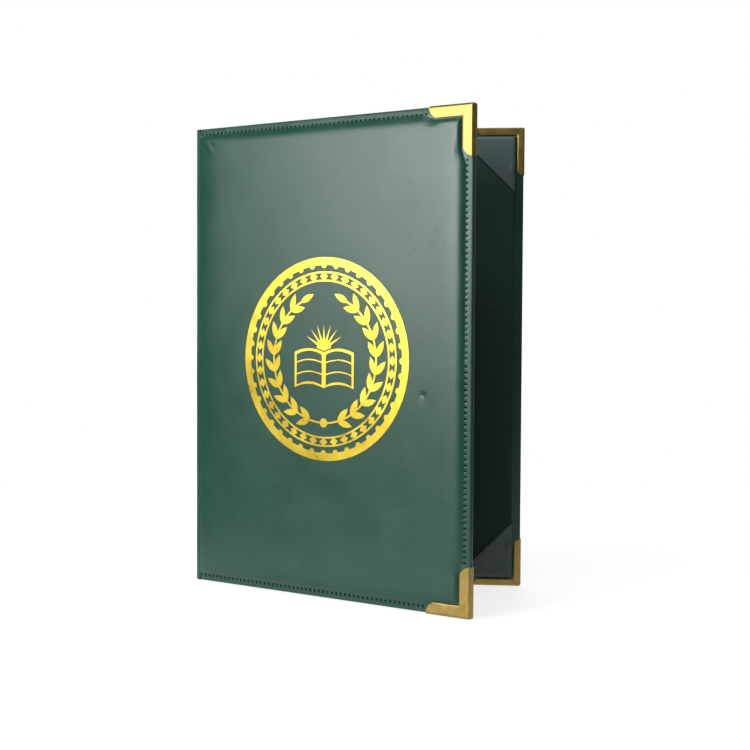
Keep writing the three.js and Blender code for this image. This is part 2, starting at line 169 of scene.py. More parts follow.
softbox("key_softbox", 236, 14, 1.7, 0.9, 0.75, 27)
softbox("top_softbox", 262, 60, 1.7, 1.0, 1.0, 11)
softbox("back_softbox", 105, 35, 1.8, 0.8, 0.8, 8)


# The two covers: greyboard padded with foam on its outer face and wrapped in one sheet of dark green
# leatherette, turned over three edges, glued down inside and sewn 4 mm in. From the seam, with its needle
# holes painted dark as shade, the rim slopes to the edge. It is pinched round the brass and gathered at the
# spine's ends.
FRONT = -1
BACK = 1
NAMES = {FRONT: "front", BACK: "back"}
WIDTH = 220.0  # millimetres, in a cover's own flat measure: u from the fold, v outward, z up
HEIGHT = 310.0
LEATHER = 0.7
EDGE = 3.5  # thickness of a wrapped edge
FOLD_LEVEL = 2.8  # the fold line lies between the outer sheet and the inner strip
BRASS_STAND = 0.55  # how far the brass stands proud, and so the sheet's height off the table
BOARD_START = 2.45
ARRIS = 1.5
INNER_ARRIS = 0.35
TURN_IN = 15.0
PAD_RISE = 2.5
PAD_MARGIN = 5.0
BRASS_MARGIN = 7.8  # the pad's foot keeps this far from the edge along a brass leg
BRASS_LEG = 32.0
LEG_EASE = 5.0  # either side of the leg's end
SOFT_RISE = 2.8  # the pad rises by two thirds over this distance
STEEP_RISE = 1.0  # and over this one beside the brass
SPINE_RISE = 8.0
PAD_SPINE_FOOT = 2.6
OUTER_CORNER = 1.5  # rounding of the pad's corners, in lengths over which it rises
SPINE_CORNER = 1.2
SEAL_CENTRE = (111.25, 155.0)
SEAL_RADIUS = 65.5
FOAM_SETTLE = 0.09
FOAM_WAVE = 0.045
SEAM_INSET = 4.0
STITCH = 3.5
SEAM_START = 33.5  # from an outer corner, where the brass leg ends
SEAM_CHANNEL = 0.04
HOLE_RADIUS = 0.65
HOLE_DEPTH = 0.2
PUCKER = 0.015
PUCKER_INSET = SEAM_INSET + 2.2
RIM_TOP = SEAM_INSET + 0.3  # the rim starts to slope this far in from the edge
RIM_DROP = 0.55
LEG_DIP = 0.5  # pinched beside the end of a brass leg
LEG_DIP_PLACE = (9.6, BRASS_LEG - 4.0)  # in from the edge, along it from the corner
LEG_DIP_SIZE = (2.6, 5.5)
CORNER_DIP = 0.35  # and in the inner corner of the brass
CORNER_DIP_INSET = 10.0
CORNER_DIP_RADIUS = 3.5
GATHER = 0.2
GATHER_CENTRE = (3.0, 4.0)  # from the fold, from the head or tail
GATHER_REACH = 13.0
GATHER_SPREAD = 6.0
GREEN_DARK, GREEN_LIGHT = (0.005, 0.054, 0.032), (0.009, 0.068, 0.042)
# painted shade: near-black colours for the shallow needle holes, in place of the shade inside a deep hole
HOLE_SHADE_DARK, HOLE_SHADE_LIGHT = (0.002, 0.014, 0.009), (0.004, 0.022, 0.014)

folds = {joint["name"]: joint for joint in frame["record"]["behaviour"]["joints"]}
fold_x = folds["back_fold"]["pos_m"][0] * 1000
fold_y = folds["back_fold"]["pos_m"][1] * 1000
opening = math.radians(-folds["back_fold"]["range_deg"][0])


def place(side, u, v, z):
    """Points of a cover, given in its own flat millimetres, in the row's metres."""
    u, v, z = np.broadcast_arrays(*(np.asarray(value, float) for value in (u, v, z)))
    out = v - FOLD_LEVEL
    x = fold_x + u * math.cos(opening) - out * math.sin(opening)
    y = side * (fold_y + u * math.sin(opening) + out * math.cos(opening))
    return np.stack([x, y, z + BRASS_STAND], axis=-1).reshape(-1, 3) / 1000


def smoothstep(low, high, value):
    """0 at low and 1 at high, with a smooth run between."""
    share = np.clip((value - low) / (high - low), 0, 1)
    return share * share * (3 - 2 * share)


def bump(distance, radius):
    """1 at no distance, fading smoothly over a radius."""
    return np.exp(-((distance / radius) ** 2))


def pad_rises(inset, from_corner):
    """Distance past the pad's foot along an edge, counted in the lengths over which it rises."""
    eased = smoothstep(BRASS_LEG - LEG_EASE, BRASS_LEG + LEG_EASE, from_corner)
    margin = BRASS_MARGIN + (PAD_MARGIN - BRASS_MARGIN) * eased
    return (inset - margin) / (STEEP_RISE + (SOFT_RISE - STEEP_RISE) * eased)


def rounded_distance(across, along, radius):
    """Distance into a corner with two straight sides and a rounded tip."""
    beside = np.hypot(np.maximum(radius - across, 0), np.maximum(radius - along, 0))
    in_corner = (across < radius) & (along < radius)
    return np.where(in_corner, radius - beside, np.minimum(across, along))


def seam_distance(u, z):
    """Distance to the nearest of the three sewn edges, and the way along that edge from a corner."""
    from_outer = WIDTH - u
    from_end = np.minimum(z, HEIGHT - z)
    on_side = from_outer < from_end
    return np.minimum(from_outer, from_end), np.where(on_side, from_end, from_outer)


def stitch_holes(along):
    """1 at each needle hole and 0 between, along a sewn edge from its brass leg."""
    phase = (along - SEAM_START) / STITCH
    distance = np.abs(phase - np.round(phase)) * STITCH
    return np.where(along > SEAM_START - STITCH / 2, bump(distance, HOLE_RADIUS), 0)


def pad_share(u, from_outer, from_end):
    """How much of its full rise the pad has reached, from 0 at its foot to 1."""
    side = pad_rises(from_outer, from_end)
    end = pad_rises(from_end, from_outer)
    spine = (u - PAD_SPINE_FOOT) / SPINE_RISE
    at_outer = rounded_distance(side, end, OUTER_CORNER)
    at_spine = rounded_distance(spine, end, SPINE_CORNER)
    return 1 - np.exp(-np.clip(np.minimum(at_outer, at_spine), 0, None))


def foam_give(u, z):
    """How far the foam has settled, in slow waves that don't repeat. It stays level under the seal."""
    to_seal = np.hypot(u - SEAL_CENTRE[0], z - SEAL_CENTRE[1])
    beyond_seal = smoothstep(SEAL_RADIUS + 2, SEAL_RADIUS + 30, to_seal)
    waves = np.sin(u / 17 + 1.3 * np.sin(z / 41)) + np.sin(z / 23 + 1.1 * np.sin(u / 29 + 2))
    return beyond_seal * (FOAM_SETTLE + FOAM_WAVE * waves)


def seam_depth(edge_distance, along):
    """How far the sewn rim lies under a level one: its slope, the seam's channel and the needle holes."""
    slope = np.clip((RIM_TOP - edge_distance) / (RIM_TOP - ARRIS), 0, 1)
    channel = bump(edge_distance - SEAM_INSET, 1.0) * (along > SEAM_START - 3)
    at_hole = stitch_holes(along)
    holes = bump(edge_distance - SEAM_INSET, HOLE_RADIUS) * at_hole
    puckers = bump(edge_distance - PUCKER_INSET, 1.6) * (1 - 2 * at_hole) * (along > SEAM_START)
    return RIM_DROP * slope + SEAM_CHANNEL * channel + HOLE_DEPTH * holes - PUCKER * puckers


def brass_pinch(edge_distance, along, from_outer, from_end):
    """How deep the pad is pinched beside the ends of the brass legs and in their inner corner."""
    in_from_end = (edge_distance - LEG_DIP_PLACE[0]) / LEG_DIP_SIZE[0]
    along_from_end = (along - LEG_DIP_PLACE[1]) / LEG_DIP_SIZE[1]
    from_corner = np.hypot(from_outer - CORNER_DIP_INSET, from_end - CORNER_DIP_INSET)
    leg_dip = LEG_DIP * bump(np.hypot(in_from_end, along_from_end), 1.0)
    return leg_dip + CORNER_DIP * bump(from_corner, CORNER_DIP_RADIUS)


def spine_gathers(u, from_end):
    """Folds that run in at 45 degrees from the two corners by the spine, where the sheet is gathered."""
    across = u - GATHER_CENTRE[0]
    up = from_end - GATHER_CENTRE[1]
    reach = np.hypot(across, up)
    turn = np.arctan2(up, np.maximum(across, 0.01)) - math.pi / 4
    fold = np.cos(turn * 11) * bump(turn, 0.5)
    return GATHER * fold * bump(reach - GATHER_REACH, GATHER_SPREAD) * smoothstep(5, 12, reach)


def outer_level(u, z, dents):
    """Height of the sheet's outer face over the board's inner face."""
    from_outer = WIDTH - u
    from_end = np.minimum(z, HEIGHT - z)
    edge_distance, along = seam_distance(u, z)
    share = pad_share(u, from_outer, from_end)
    level = EDGE + share * (PAD_RISE - foam_give(u, z))
    level = level - seam_depth(edge_distance, along)
    level = level - share * brass_pinch(edge_distance, along, from_outer, from_end)
    level = level + spine_gathers(u, from_end)
    for (dent_u, dent_z), depth, long_radius, cross_radius, slant in dents:
        over = (u - dent_u) * math.cos(slant) + (z - dent_z) * math.sin(slant)
        up = (z - dent_z) * math.cos(slant) - (u - dent_u) * math.sin(slant)
        level = level - depth * share * np.exp(-((over / long_radius) ** 2) - (up / cross_radius) ** 2)
    return level


# a small dent right of the seal and two faint creases above it: place, depth, half length, half width
# and slant of each
FRONT_DENTS = [
    ((187.0, 134.6), 0.3, 1.9, 1.6, 0.0),
    ((186.3, 132.2), 0.1, 2.6, 2.8, 0.0),
    ((194.0, 232.0), 0.14, 16.0, 1.6, 0.9),
    ((181.0, 223.0), 0.08, 12.0, 1.4, 0.7),
]


def link_piece(name, points, faces, material, sharp_angle=50):
    """A mesh object in the row's metres, shaded smooth apart from its sharp edges."""
    mesh = bpy.data.meshes.new(name)
    mesh.from_pydata([tuple(point) for point in points], [], [tuple(face) for face in faces])
    mesh.update()
    mesh.shade_smooth()
    mesh.set_sharp_from_angle(angle=math.radians(sharp_angle))
    mesh.materials.append(material)
    piece = bpy.data.objects.new(name, mesh)
    bpy.context.scene.collection.objects.link(piece)
    return piece


def thicken(piece, millimetres):
    """Gives a sheet its thickness, inward from its faces."""
    solidify = piece.modifiers.new("thickness", "SOLIDIFY")
    solidify.thickness = millimetres / 1000
    solidify.offset = -1
    solidify.use_even_offset = True


def weld(points, faces, flipped):
    """Joins points that coincide, drops collapsed faces and turns the faces over where asked."""
    keys = np.round(np.asarray(points) * 1e5).astype(np.int64)
    _, first, index = np.unique(keys, axis=0, return_index=True, return_inverse=True)
    index = index.reshape(-1)
    welded = []
    for face in faces:
        around = [int(index[corner]) for corner in face]
        around = [corner for i, corner in enumerate(around) if corner != around[i - 1]]
        if len(around) > 2:
            welded.append(around[::-1] if flipped else around)
    return np.asarray(points)[first], welded


def grid_faces(columns, rows, start=0):
    """Quads of a grid whose points are listed row by row."""
    corners = []
    for row in range(rows - 1):
        for column in range(columns - 1):
            here = start + row * columns + column
            corners.append((here, here + 1, here + columns + 1, here + columns))
    return corners


FINE_STEP = STITCH / 5
columns = round((WIDTH - ARRIS - BOARD_START) / FINE_STEP) + 1
rows = round((HEIGHT - 2 * ARRIS) / FINE_STEP) + 1
fine_u = np.linspace(BOARD_START, WIDTH - ARRIS, columns)
fine_z = np.linspace(ARRIS, HEIGHT - ARRIS, rows)


def face_lattice(dents):
    """Points on a cover's outer face, dense along the sewn edges and the dents, and its triangles."""
    u, z = np.meshgrid(fine_u, fine_z)
    column, row = np.meshgrid(np.arange(columns), np.arange(rows))
    sewn_band = 20
    spine_band = 27
    near_outer = column >= columns - sewn_band
    near_ends = np.minimum(row, rows - 1 - row) < sewn_band
    near_spine = (column < spine_band) & (column % 2 == 0) & (row % 4 == 0)
    inside = (column % 5 == 0) & (row % 5 == 0)
    keep = near_outer | near_ends | near_spine | inside | ((column == 0) & (row % 4 == 0))
    for (dent_u, dent_z), _, long_radius, _, _ in dents:
        reach = min(2.2 * long_radius, 14)
        keep |= np.hypot(u - dent_u, z - dent_z) < reach
    flat = [(float(a), float(b)) for a, b in zip(u[keep], z[keep])]
    found, _, triangles, *_ = geometry.delaunay_2d_cdt(flat, [], [], 0, 1e-4)
    found = np.array(found)
    return found[:, 0], found[:, 1], [list(triangle) for triangle in triangles]


def turned_edge():
    """The sheet's way round an edge, as inset from it and level: over, down, under and inward."""
    quarter = np.linspace(0, math.pi / 2, 5)
    over_inset = ARRIS * (1 - np.sin(quarter))
    over_level = EDGE - RIM_DROP - (ARRIS - RIM_DROP) * (1 - np.cos(quarter))
    under_inset = INNER_ARRIS * (1 - np.cos(quarter))
    under_level = INNER_ARRIS * (1 - np.sin(quarter))
    glued_down = np.array([3.0, SEAM_INSET, 5.0, 8.0, TURN_IN])
    inset = np.concatenate([over_inset, under_inset, glued_down])
    level = np.concatenate([over_level, under_level, np.zeros(len(glued_down))])
    return inset, level


def turned_flap(along_points, corner_at_start):
    """Inset, level and place along an edge for the sheet turned over it, mitred at outer corners."""
    inset, level = turned_edge()
    along, inset_grid = np.meshgrid(along_points, inset)
    level_grid = np.repeat(level[:, None], len(along_points), axis=1)
    shift = np.maximum(inset_grid - ARRIS, 0)
    easing = 20.0  # the sheet closes up to the mitre over this length
    end = along_points[-1]
    along = along - shift * np.clip((along - (end - easing)) / easing, 0, 1)
    if corner_at_start:
        begin = along_points[0]
        along = along + shift * np.clip(((begin + easing) - along) / easing, 0, 1)
    return along, inset_grid, level_grid


def cover_sheet(side, dents):
    """The leatherette of one cover: padded face, three turned edges and their turn-ins."""
    u, z, faces = face_lattice(dents)
    v = outer_level(u, z, dents)
    us, vs, zs = [u], [v], [z]
    count = len(u)

    top_u, inset, level = turned_flap(fine_u, corner_at_start=False)
    us.append(top_u.ravel())
    vs.append(level.ravel())
    zs.append((HEIGHT - inset).ravel())
    faces += grid_faces(columns, len(inset), count)
    count += top_u.size

    us.append(top_u.ravel())
    vs.append(level.ravel())
    zs.append(inset.ravel())
    faces += [face[::-1] for face in grid_faces(columns, len(inset), count)]
    count += top_u.size

    side_z, inset, level = turned_flap(fine_z, corner_at_start=True)
    us.append((WIDTH - inset).ravel())
    vs.append(level.ravel())
    zs.append(side_z.ravel())
    faces += [face[::-1] for face in grid_faces(rows, len(inset), count)]

    points = place(side, np.concatenate(us), np.concatenate(vs), np.concatenate(zs))
    return weld(points, faces, side == BACK)


def texture_space(nodes, links, scale):
    """Object coordinates in metres, stretched by a scale."""
    place_in_object = nodes.new("ShaderNodeTexCoord")
    mapping = nodes.new("ShaderNodeMapping")
    mapping.inputs["Scale"].default_value = scale
    links.new(place_in_object.outputs["Object"], mapping.inputs["Vector"])
    return mapping.outputs["Vector"]


def noise(nodes, links, vector, scale, detail=3.0, roughness=0.5):
    """A cloudy factor about a half."""
    texture = nodes.new("ShaderNodeTexNoise")
    texture.inputs["Scale"].default_value = scale
    texture.inputs["Detail"].default_value = detail
    texture.inputs["Roughness"].default_value = roughness
    links.new(vector, texture.inputs["Vector"])
    return texture.outputs["Fac"]


def ramp(nodes, links, factor, stops):
    """A colour ramp from stops of place and colour."""
    blend = nodes.new("ShaderNodeValToRGB")
    blend.color_ramp.elements[0].position = stops[0][0]
    blend.color_ramp.elements[0].color = (*stops[0][1], 1)
    blend.color_ramp.elements[1].position = stops[-1][0]
    blend.color_ramp.elements[1].color = (*stops[-1][1], 1)
    for position, colour in stops[1:-1]:
        blend.color_ramp.elements.new(position).color = (*colour, 1)
    links.new(factor, blend.inputs["Fac"])
    return blend.outputs["Color"]


def span(nodes, links, factor, low, high, from_low=0.0, from_high=1.0):
    """A factor mapped to run from low to high."""
    mapped = nodes.new("ShaderNodeMapRange")
    mapped.inputs["From Min"].default_value = from_low
    mapped.inputs["From Max"].default_value = from_high
    mapped.inputs["To Min"].default_value = low
    mapped.inputs["To Max"].default_value = high
    links.new(factor, mapped.inputs["Value"])
    return mapped.outputs["Result"]


def raised(nodes, links, height, distance, strength, under=None):
    """A bump of a height in metres, over another bump's normal."""
    relief = nodes.new("ShaderNodeBump")
    relief.inputs["Distance"].default_value = distance
    relief.inputs["Strength"].default_value = strength
    links.new(height, relief.inputs["Height"])
    if under is not None:
        links.new(under, relief.inputs["Normal"])
    return relief.outputs["Normal"]


def leatherette_material(name, dark, light, roughness_low, roughness_high, specular=0.5):
    """Coated grained leatherette: pebbled cells with fine creases between, slightly cloudy."""
    material, shader, nodes, links = new_material(name)
    metres = texture_space(nodes, links, (1, 1, 1))
    grain = nodes.new("ShaderNodeTexVoronoi")
    grain.feature = "SMOOTH_F1"
    grain.inputs["Scale"].default_value = 1500
    grain.inputs["Smoothness"].default_value = 0.6
    links.new(metres, grain.inputs["Vector"])
    pores = noise(nodes, links, metres, 2600, 2)
    cloud = noise(nodes, links, metres, 34, 4, 0.6)
    links.new(ramp(nodes, links, cloud, [(0.3, dark), (0.7, light)]), shader.inputs["Base Color"])
    rough = span(nodes, links, cloud, roughness_low, roughness_high, 0.3, 0.7)
    links.new(rough, shader.inputs["Roughness"])
    shader.inputs["Specular IOR Level"].default_value = specular
    fine = raised(nodes, links, pores, 0.00004, 0.5)
    cells = raised(nodes, links, grain.outputs["Distance"], 0.00006, 0.55, fine)
    slow = noise(nodes, links, metres, 55, 2)
    links.new(raised(nodes, links, slow, 0.0006, 0.12, cells), shader.inputs["Normal"])
    return material


green_leatherette = leatherette_material("green_leatherette", GREEN_DARK, GREEN_LIGHT, 0.31, 0.36)
# painted shade: a near-black matt leatherette that stands in for the shade inside the needle holes
painted_hole_shade = leatherette_material("painted_hole_shade", HOLE_SHADE_DARK, HOLE_SHADE_LIGHT, 0.8, 0.9, specular=0.1)


def paint_shade_in_holes(cover, side):
    """Paints shade into the outer face's needle holes: their faces get a near-black matt material, standing
    in for the shade in a deep hole.
    """
    cover.data.materials.append(painted_hole_shade)
    for face in cover.data.polygons:
        x, y, z = face.center * 1000
        along_x, along_y = x - fold_x, side * y - fold_y
        u = along_x * math.cos(opening) + along_y * math.sin(opening)
        v = along_y * math.cos(opening) - along_x * math.sin(opening) + FOLD_LEVEL
        edge_distance, along = seam_distance(u, z - BRASS_STAND)
        hole_shade_mask = bump(edge_distance - SEAM_INSET, 0.9) * stitch_holes(along) > 0.33
        if v > EDGE / 2 and hole_shade_mask:
            face.material_index = 1


for side, dents in ((FRONT, FRONT_DENTS), (BACK, [])):
    cover_name = NAMES[side]
    cover_points, cover_faces = cover_sheet(side, dents)
    cover = link_piece(f"{cover_name}_cover_leatherette", cover_points, cover_faces, green_leatherette)
    paint_shade_in_holes(cover, side)
    thicken(cover, LEATHER)
    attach(cover, f"{cover_name}_cover")
    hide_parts(f"{cover_name}_leatherette")


# The boards and the foam lie inside, and show only at the spine's end of a turned edge. The board is
# grey pulp with flecks, the foam is white and open-celled.
BOARD_DARK, BOARD_LIGHT = (0.17, 0.15, 0.13), (0.33, 0.31, 0.27)
FOAM_DARK, FOAM_LIGHT = (0.55, 0.53, 0.47), (0.78, 0.77, 0.72)

board_material, shader, nodes, links = new_material("greyboard")
metres = texture_space(nodes, links, (1, 1, 1))
pulp = noise(nodes, links, metres, 900, 5, 0.7)
flecks = ramp(nodes, links, pulp, [(0.3, BOARD_DARK), (0.7, BOARD_LIGHT)])
links.new(flecks, shader.inputs["Base Color"])
shader.inputs["Roughness"].default_value = 0.9
links.new(raised(nodes, links, pulp, 0.0001, 0.4), shader.inputs["Normal"])

foam_material, shader, nodes, links = new_material("white_foam")
metres = texture_space(nodes, links, (1, 1, 1))
cells = noise(nodes, links, metres, 1800, 3, 0.6)
open_cells = ramp(nodes, links, cells, [(0.35, FOAM_DARK), (0.6, FOAM_LIGHT)])
links.new(open_cells, shader.inputs["Base Color"])
shader.inputs["Roughness"].default_value = 0.95
links.new(raised(nodes, links, cells, 0.0002, 0.5), shader.inputs["Normal"])


def finish_node(name, material):
    """Gives a CAD node its material."""
    node = frame["nodes"][name]
    if node.material_slots:
        node.material_slots[0].material = material
    else:
        node.data.materials.append(material)


for cover_name in NAMES.values():
    finish_node(f"{cover_name}_board", board_material)
    finish_node(f"{cover_name}_foam", foam_material)


# The spine: the outer sheet runs on across it, with its head and tail folded in, and a strip of the
# same leatherette is glued inside. Each is split down the spine's middle, into a front and a back half.
HEM = 3.0  # folded in at head and tail
SHEET_GAP = 0.025  # between the outer sheet and the strip
STRIP_WALL = BOARD_START - 0.05  # the strip's face along the board's end
FLAP_START = 1.75
FLAP_END = 14.5
FLAP_TURN_IN = 15.3  # the flap stops short of the turned-in head and tail
FOLD_EASE = 0.25  # how much lower the sheet lies at a fold than over the board and the spine's middle

# the sheet's section is worked out across x and out from the middle, for one half of the spine
along_spine = np.linspace(0, fold_y - 0.65, 7)
along_cover = np.array([0.62, 0.9, 1.3, 1.8, BOARD_START])
fold_line = np.array([0.0, fold_y])
outward = np.array([-math.sin(opening), math.cos(opening)])
onward = np.array([math.cos(opening), math.sin(opening)])


def inner_corner(depth):
    """Where the inner faces of spine and cover meet, at a depth under the fold line."""
    reach = depth * (1 - math.sin(opening)) / math.cos(opening)
    return fold_line + reach * onward - depth * outward


def fold_section(over, under):
    """Outlines of a layer's outer and inner face, from the spine's middle round the fold to the board."""
    ease = FOLD_EASE if over > FOLD_EASE else 0
    outer = [(-over + ease * (y / fold_y) ** 2, y) for y in along_spine]
    inner = [(under, y) for y in along_spine]
    turn = np.linspace(math.pi, math.pi / 2 + opening, 9)
    for angle in turn:
        on_arc = fold_line + (over - ease) * np.array([math.cos(angle), math.sin(angle)])
        outer.append(on_arc if over > 0 else inner_corner(-over))
        inner.append(inner_corner(under) if under > 0 else fold_line)
    for u in along_cover:
        outer.append(fold_line + u * onward + (over - ease * (1 - u / BOARD_START) ** 2) * outward)
        inner.append(fold_line + u * onward - under * outward)
    return np.array(outer), np.array(inner)


def fold_band(side, levels):
    """A closed strip along the fold, from a section at each level of z."""
    points = []
    loop = 0
    for z, (outer, inner) in levels:
        around = np.concatenate([outer, inner[::-1]])
        loop = len(around)
        for across, out in around:
            points.append((fold_x + across, side * out, z + BRASS_STAND))
    faces = []
    for level in range(len(levels) - 1):
        for i in range(loop):
            here = level * loop + i
            there = level * loop + (i + 1) % loop
            faces.append((here, there, there + loop, here + loop))
    half = loop // 2
    last = (len(levels) - 1) * loop
    for i in range(half - 1):
        opposite = loop - 1 - i
        faces.append((i + 1, i, opposite, opposite - 1))
        faces.append((last + i, last + i + 1, last + opposite - 1, last + opposite))
    return weld(np.array(points) / 1000, faces, side == FRONT)


def fold_levels():
    """Heights of the spine's sections, with the rounded and folded-in head and tail close together."""
    rounding = LEATHER * (1 - np.cos(np.linspace(0, math.pi / 2, 5)))
    below = list(rounding) + [1.2, 2.0, HEM - 0.15, HEM]
    between = list(np.linspace(HEM + 0.15, HEIGHT / 2, 60))
    lower = below + between
    return lower + [HEIGHT - z for z in lower[-2::-1]]


def outer_spine_levels():
    """The outer sheet's sections, double where head and tail are folded in and rounded at their ends."""
    levels = []
    for z in fold_levels():
        from_end = min(z, HEIGHT - z)
        drawn_in = LEATHER - math.sqrt(max(LEATHER**2 - (LEATHER - min(from_end, LEATHER)) ** 2, 0))
        rounded = LEATHER - drawn_in * 0.96
        wave = 0.05 * math.sin(z / 13) * math.sin(z / 31)
        over = rounded + wave * min(from_end / 5, 1)
        under = rounded if from_end <= HEM else -SHEET_GAP
        levels.append((z, fold_section(over, under)))
    return levels


def spine_strip_levels():
    """The inner strip across the fold and down the board's edge."""
    levels = []
    for z in np.linspace(HEM + 0.3, HEIGHT - HEM - 0.3, 90):
        outer, inner = fold_section(-SHEET_GAP, LEATHER + 0.04 * math.sin(z / 9))
        wall = np.linspace(FOLD_LEVEL - LEATHER, LEATHER + 0.05, 5) - FOLD_LEVEL
        corner_outer = [fold_line + STRIP_WALL * onward - SHEET_GAP * outward]
        corner_inner = [fold_line + FLAP_START * onward - LEATHER * outward]
        keep = len(outer) - 2
        for level in wall[1:]:
            corner_outer.append(fold_line + STRIP_WALL * onward + level * outward)
            corner_inner.append(fold_line + FLAP_START * onward + level * outward)
        section_outer = np.concatenate([outer[:keep], corner_outer])
        section_inner = np.concatenate([inner[:keep], corner_inner])
        levels.append((z, (section_outer, section_inner)))
    return levels


def glued_flap(side):
    """The inner strip's flap, rolled over the board's edge and glued along its inner face."""
    roll = np.linspace(math.pi, 1.5 * math.pi, 6)
    run = np.linspace(BOARD_START + 0.4, FLAP_END, 8)
    radius = STRIP_WALL - FLAP_START
    centre = (STRIP_WALL, LEATHER)
    outer = [centre] * len(roll) + [(u, LEATHER) for u in run]
    inner = [(centre[0] + radius * math.cos(a), centre[1] + radius * math.sin(a)) for a in roll]
    inner += [(u, 0.0) for u in run]
    levels = []
    for z in np.linspace(FLAP_TURN_IN, HEIGHT - FLAP_TURN_IN, 60):
        to_row = [
            np.array([fold_line + u * onward + (v - FOLD_LEVEL) * outward for u, v in part])
            for part in (outer, inner)
        ]
        levels.append((z, to_row))
    return fold_band(side, levels)


for side, cover_name in NAMES.items():
    sheet_points, sheet_faces = fold_band(side, outer_spine_levels())
    spine_sheet = link_piece(f"{cover_name}_half_of_spine", sheet_points, sheet_faces, green_leatherette)
    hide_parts("spine_leatherette")
    strip_points, strip_faces = fold_band(side, spine_strip_levels())
    strip = link_piece(f"{cover_name}_half_of_strip", strip_points, strip_faces, green_leatherette)
    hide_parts("spine_inner_strip")
    flap_points, flap_faces = glued_flap(side)
    flap = link_piece(f"{cover_name}_strip_flap", flap_points, flap_faces, green_leatherette)
    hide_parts(f"{cover_name}_inner_strip")
    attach(flap, f"{cover_name}_cover")
    for piece in (spine_sheet, strip):
        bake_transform(piece)


# The stitching: green thread of about half a millimetre, sewn through the turned edges in stitches of
# 3.5 mm, one run along the head, the fore edge and the tail of each cover, and seen on both faces.
THREAD = 0.24  # radius
STITCH_GAP = 0.55  # from a hole's middle to where the thread dives
THREAD_SINK = 0.1
THREAD_DIVE = 0.75
THREAD_DARK, THREAD_LIGHT = (0.02, 0.085, 0.06), (0.05, 0.15, 0.115)

thread_material, shader, nodes, links = new_material("green_thread")
metres = texture_space(nodes, links, (1, 1, 1))
twist = nodes.new("ShaderNodeTexWave")
twist.bands_direction = "DIAGONAL"
twist.inputs["Scale"].default_value = 900
links.new(metres, twist.inputs["Vector"])
strands = ramp(nodes, links, twist.outputs["Fac"], [(0.0, THREAD_DARK), (1.0, THREAD_LIGHT)])
links.new(strands, shader.inputs["Base Color"])
shader.inputs["Roughness"].default_value = 0.8
shader.inputs["Specular IOR Level"].default_value = 0.25
links.new(raised(nodes, links, twist.outputs["Fac"], 0.0001, 0.5), shader.inputs["Normal"])


def sewn_runs():
    """Middle points of the stitches, with the way that each one lies, in u and z."""
    stitches = []
    fore_edge = np.arange(SEAM_START + STITCH / 2, HEIGHT - SEAM_START, STITCH)
    for z in fore_edge:
        stitches.append(((WIDTH - SEAM_INSET, z), (0.0, 1.0)))
    for from_outer in np.arange(SEAM_START + STITCH / 2, WIDTH - 6, STITCH):
        for z in (SEAM_INSET, HEIGHT - SEAM_INSET):
            stitches.append(((WIDTH - from_outer, z), (1.0, 0.0)))
    return stitches


def stitching(side):
    """All of a cover's stitches, each a short thread that dives into its two holes."""
    sides = 7
    ways = np.linspace(-1, 1, 7)
    points = []
    faces = []
    for (middle_u, middle_z), (way_u, way_z) in sewn_runs():
        for surface, face_out in ((EDGE, 1.0), (0.0, -1.0)):
            start = len(points)
            for way in ways:
                run = way * (STITCH / 2 - STITCH_GAP)
                dive = -THREAD_SINK - THREAD_DIVE * abs(way) ** 3
                radius = THREAD * (1 - 0.35 * abs(way) ** 4)
                for i in range(sides):
                    angle = 2 * math.pi * i / sides
                    beside = radius * math.cos(angle)
                    lift = (dive + radius * math.sin(angle)) * face_out
                    u = middle_u + run * way_u + beside * way_z
                    z = middle_z + run * way_z + beside * way_u
                    points.append((u, surface + lift, z))
            for step in range(len(ways) - 1):
                for i in range(sides):
                    here = start + step * sides + i
                    there = start + step * sides + (i + 1) % sides
                    faces.append((here, there, there + sides, here + sides))
            faces.append([start + i for i in range(sides)][::-1])
            last = start + (len(ways) - 1) * sides
            faces.append([last + i for i in range(sides)])
    points = np.array(points)
    return place(side, points[:, 0], points[:, 1], points[:, 2]), faces


def outward_faces(piece):
    """Turns each closed shell of a piece so that its faces point out."""
    shell = bmesh.new()
    shell.from_mesh(piece.data)
    bmesh.ops.recalc_face_normals(shell, faces=shell.faces)
    shell.to_mesh(piece.data)
    shell.free()


for side, cover_name in NAMES.items():
    thread_points, thread_faces = stitching(side)
    thread = link_piece(f"{cover_name}_stitching", thread_points, thread_faces, thread_material)
    outward_faces(thread)
    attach(thread, f"{cover_name}_cover")


# The four brass corners: thin sheet stamped to an L on each face, folded round the edge and clamped on.
# The outer face is flat with a narrow bevel, the inner one has a broad bevel along its inner border.
CORNER_ROUND = 1.5
OUTER_LEG = 8.0  # width of a leg on the outer face, and the radius of its end
INNER_LEG = 5.5
BRASS_SHEET = 0.5
BRASS_ROUND = 0.6
FOLD_BEVEL = 1.2
BORDER_BEVEL = 1.55  # how far the inner face's bevel reaches in from its border
BORDER_LEVEL = -0.06  # where that bevel ends, close to the leatherette
BRASS_DARK, BRASS_LIGHT = (0.26, 0.182, 0.054), (0.36, 0.262, 0.082)

brass_material, shader, nodes, links = new_material("polished_brass")
metres = texture_space(nodes, links, (1, 1, 1))
tarnish = noise(nodes, links, metres, 140, 4, 0.6)
links.new(ramp(nodes, links, tarnish, [(0.3, BRASS_DARK), (0.7, BRASS_LIGHT)]), shader.inputs["Base Color"])
shader.inputs["Metallic"].default_value = 1
links.new(span(nodes, links, tarnish, 0.38, 0.48, 0.3, 0.7), shader.inputs["Roughness"])
scratches = noise(nodes, links, texture_space(nodes, links, (60, 60, 900)), 3, 2)
ripple = raised(nodes, links, noise(nodes, links, metres, 120, 2), 0.0004, 0.12)
links.new(raised(nodes, links, scratches, 0.00002, 0.25, ripple), shader.inputs["Normal"])


def arc(inset, level, radius, from_degrees, to_degrees, count):
    """Points of a section on an arc about a middle."""
    angles = np.radians(np.linspace(from_degrees, to_degrees, count))
    return [(inset + radius * math.cos(angle), level + radius * math.sin(angle)) for angle in angles]


